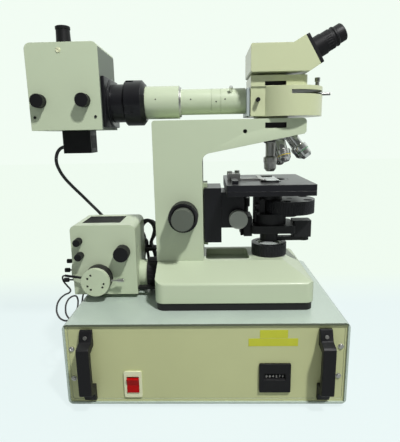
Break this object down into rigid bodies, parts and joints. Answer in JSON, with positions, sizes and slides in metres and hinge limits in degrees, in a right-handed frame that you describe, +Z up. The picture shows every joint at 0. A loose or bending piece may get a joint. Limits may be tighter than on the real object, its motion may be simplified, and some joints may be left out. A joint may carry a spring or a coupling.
{
  "type": "fluorescence microscope",
  "caption": "Upright fluorescence microscope with arc lamp house, filter drum, inclined eyepieces, mechanical stage and condenser, standing on its lamp power supply.",
  "frame": {"origin": "bench level, under the centre of the bounding box of everything but the leads, on the stand's plane of symmetry", "axes": "+X towards the user and the eyepieces, +Y to the user's right, +Z up"},
  "size_m": [0.5141, 0.3805, 0.619],
  "materials": {
    "hammer_paint": "hammered",
    "panel_paint": "satin",
    "cream_paint": "satin",
    "dark_paint": "satin",
    "black_paint": "gloss",
    "black_plastic": "matte",
    "grey_plastic": "satin",
    "red_plastic": "gloss",
    "rubber": "matte",
    "steel": "satin",
    "chrome": "polished",
    "iron": "varnished",
    "glass": "polished"
  },
  "bodies": {
    "stand": {"supply_case": "hammer_paint", "supply_panel": "panel_paint", "rubber_feet": "rubber", "rack_handles": "black_plastic", "screws": "chrome", "hour_meter": "black_plastic", "power_pack": "iron", "base_plate": "dark_paint", "base_casting": "cream_paint", "arm": "cream_paint", "fixed_optics": "glass", "lamp_clamp": "black_plastic", "lamp_housing": "cream_paint", "lamp_socket": "cream_paint", "lamps": "glass", "arc_housing": "cream_paint", "arc_socket": "black_plastic", "collector": "black_paint", "light_tube": "cream_paint", "epi_housing": "cream_paint", "intermediate": "cream_paint", "arc_cord": "rubber", "lamp_cord": "rubber", "cord_hank": "rubber"},
    "rocker": {"switch_rocker": "red_plastic"},
    "coarse": {"focus_coarse": "black_plastic"},
    "fine": {"focus_fine": "grey_plastic"},
    "field_stop": {"field_ring": "black_paint"},
    "stage": {"stage_carriage": "black_paint", "stage_plate": "black_paint"},
    "stage_slide": {"stage_top": "black_paint"},
    "holder": {"slide_holder": "steel", "glass_slide": "glass"},
    "finger": {"holder_finger": "black_paint"},
    "drive_x": {"stage_knob_x": "black_plastic"},
    "drive_y": {"stage_knob_y": "black_plastic"},
    "condenser": {"condenser_carrier": "dark_paint", "condenser_body": "dark_paint"},
    "condenser_drive": {"condenser_knob": "grey_plastic"},
    "annulus_turret": {"condenser_turret": "black_paint"},
    "aux_lens": {"aux_lens_arm": "dark_paint"},
    "revolver": {"nosepiece": "black_paint", "objectives": "chrome"},
    "lamp_upper": {"lamp_knob_upper": "black_plastic"},
    "lamp_lower": {"lamp_knob_lower": "black_plastic"},
    "lamp_focus": {"lamp_knob_focus": "black_plastic"},
    "mirror_top": {"mirror_knob_top": "black_plastic"},
    "mirror_mid": {"mirror_knob_mid": "black_plastic"},
    "mirror_low": {"mirror_knob_low": "black_plastic"},
    "arc_left": {"arc_knob_left": "black_plastic"},
    "arc_right": {"arc_knob_right": "black_plastic"},
    "tube_clamp": {"tube_screw": "chrome"},
    "filters": {"filter_turret": "dark_paint"},
    "drum_clamp": {"drum_screw": "steel"},
    "shutter": {"epi_knob": "black_plastic"},
    "head": {"head_housing": "cream_paint"},
    "eye_near": {"tube_near": "black_plastic"},
    "eye_far": {"tube_far": "black_plastic"},
    "ocular_near": {"eyepiece_near": "black_plastic"},
    "ocular_far": {"eyepiece_far": "black_plastic"}
  },
  "joints": [
    {"name": "power_switch", "type": "hinge", "parent": "stand", "child": "rocker", "pos_m": [-0.0935, -0.139, 0.043], "axis": [1, 0, 0], "range_deg": [-12, 0]},
    {"name": "stage_height", "type": "slide", "parent": "stand", "child": "stage", "axis": [0, 0, 1], "range_m": [-0.003, 0.011]},
    {"name": "coarse_focus", "type": "hinge", "parent": "stand", "child": "coarse", "pos_m": [-0.011, 0, 0.3], "axis": [0, 1, 0], "range_deg": [-70, 20]},
    {"name": "fine_focus", "type": "hinge", "parent": "stand", "child": "fine", "pos_m": [-0.011, 0, 0.3], "axis": [0, 1, 0], "continuous": true},
    {"name": "field_diaphragm", "type": "hinge", "parent": "stand", "child": "field_stop", "pos_m": [0.1425, 0, 0.228], "axis": [0, 0, 1], "range_deg": [-60, 60]},
    {"name": "stage_travel", "type": "slide", "parent": "stage", "child": "stage_slide", "axis": [1, 0, 0], "range_m": [-0.014, 0.014]},
    {"name": "slide_travel", "type": "slide", "parent": "stage_slide", "child": "holder", "axis": [0, 1, 0], "range_m": [-0.025, 0.025]},
    {"name": "slide_finger", "type": "hinge", "parent": "holder", "child": "finger", "pos_m": [0.1255, -0.042, 0.357], "axis": [0, 0, 1], "range_deg": [-35, 0], "stiffness_Nm_per_rad": 0.05},
    {"name": "slide_drive", "type": "hinge", "parent": "stage", "child": "drive_x", "pos_m": [0.1, 0.074, 0.3], "axis": [0, 0, 1], "range_deg": [-230, 230]},
    {"name": "stage_drive", "type": "hinge", "parent": "stage", "child": "drive_y", "pos_m": [0.1, 0.074, 0.285], "axis": [0, 0, 1], "range_deg": [-130, 130]},
    {"name": "condenser_height", "type": "slide", "parent": "stage", "child": "condenser", "axis": [0, 0, 1], "range_m": [0, 0.012]},
    {"name": "condenser_focus", "type": "hinge", "parent": "stage", "child": "condenser_drive", "pos_m": [0.083, 0, 0.291], "axis": [0, 1, 0], "range_deg": [-100, 0]},
    {"name": "annulus_select", "type": "hinge", "parent": "condenser", "child": "annulus_turret", "pos_m": [0.178, 0, 0.308], "axis": [0, 0, 1], "continuous": true},
    {"name": "aux_lens_swing", "type": "hinge", "parent": "condenser", "child": "aux_lens", "pos_m": [0.205, 0, 0.246], "axis": [0, 0, 1], "range_deg": [0, 80]},
    {"name": "nosepiece_turn", "type": "hinge", "parent": "stand", "child": "revolver", "pos_m": [0.1425, 0, 0.478], "axis": [0.342, 0, -0.9397], "continuous": true},
    {"name": "lamp_centre_upper", "type": "hinge", "parent": "stand", "child": "lamp_upper", "pos_m": [-0.198, -0.054, 0.256], "axis": [0, 1, 0], "range_deg": [-360, 360]},
    {"name": "lamp_centre_lower", "type": "hinge", "parent": "stand", "child": "lamp_lower", "pos_m": [-0.197, -0.054, 0.23], "axis": [0, 1, 0], "range_deg": [-360, 360]},
    {"name": "lamp_collector_focus", "type": "hinge", "parent": "stand", "child": "lamp_focus", "pos_m": [-0.121, -0.056, 0.2355], "axis": [0, 1, 0], "range_deg": [-180, 180]},
    {"name": "mirror_screw_top", "type": "hinge", "parent": "stand", "child": "mirror_top", "pos_m": [-0.23, 0.0035, 0.2043], "axis": [1, 0, 0], "range_deg": [-360, 360]},
    {"name": "mirror_screw_mid", "type": "hinge", "parent": "stand", "child": "mirror_mid", "pos_m": [-0.23, -0.0107, 0.1911], "axis": [1, 0, 0], "range_deg": [-360, 360]},
    {"name": "mirror_screw_low", "type": "hinge", "parent": "stand", "child": "mirror_low", "pos_m": [-0.23, -0.02, 0.175], "axis": [1, 0, 0], "range_deg": [-360, 360]},
    {"name": "arc_screw_left", "type": "hinge", "parent": "stand", "child": "arc_left", "pos_m": [-0.2395, -0.063, 0.4935], "axis": [0, 1, 0], "range_deg": [-360, 360]},
    {"name": "arc_screw_right", "type": "hinge", "parent": "stand", "child": "arc_right", "pos_m": [-0.1675, -0.063, 0.4935], "axis": [0, 1, 0], "range_deg": [-360, 360]},
    {"name": "tube_clamp_turn", "type": "hinge", "parent": "stand", "child": "tube_clamp", "pos_m": [0.072, 0, 0.4915], "axis": [0, -0.7071, 0.7071], "range_deg": [-360, 0]},
    {"name": "filter_select", "type": "hinge", "parent": "stand", "child": "filters", "pos_m": [0.1696, 0, 0.485], "axis": [0, 0, 1], "range_deg": [-88, 88]},
    {"name": "drum_clamp_turn", "type": "hinge", "parent": "stand", "child": "drum_clamp", "pos_m": [0.2206, 0, 0.52], "axis": [0, 0, 1], "range_deg": [-360, 0]},
    {"name": "shutter_turn", "type": "hinge", "parent": "stand", "child": "shutter", "pos_m": [0.1145, -0.045, 0.49], "axis": [0, 1, 0], "range_deg": [-90, 0]},
    {"name": "head_turn", "type": "hinge", "parent": "stand", "child": "head", "pos_m": [0.1425, 0, 0.535], "axis": [0, 0, 1], "continuous": true},
    {"name": "eye_spacing_near", "type": "slide", "parent": "head", "child": "eye_near", "axis": [0, 1, 0], "range_m": [-0.006, 0.006]},
    {"name": "eye_spacing_far", "type": "slide", "parent": "head", "child": "eye_far", "axis": [0, 1, 0], "range_m": [-0.007, 0.007]},
    {"name": "dioptre_near", "type": "hinge", "parent": "eye_near", "child": "ocular_near", "pos_m": [0.2055, -0.032, 0.5673], "axis": [0.866, 0, 0.5], "continuous": true},
    {"name": "dioptre_far", "type": "hinge", "parent": "eye_far", "child": "ocular_far", "pos_m": [0.2055, 0.032, 0.5673], "axis": [0.866, 0, 0.5], "continuous": true}
  ],
  "couplings": [
    {"joint": "coarse_focus", "follows": "stage_height", "rad_per_m": -100},
    {"joint": "slide_drive", "follows": "slide_travel", "rad_per_m": 160},
    {"joint": "stage_drive", "follows": "stage_travel", "rad_per_m": 160},
    {"joint": "condenser_focus", "follows": "condenser_height", "rad_per_m": -142.86},
    {"joint": "eye_spacing_far", "follows": "eye_spacing_near", "ratio": -1}
  ]
}
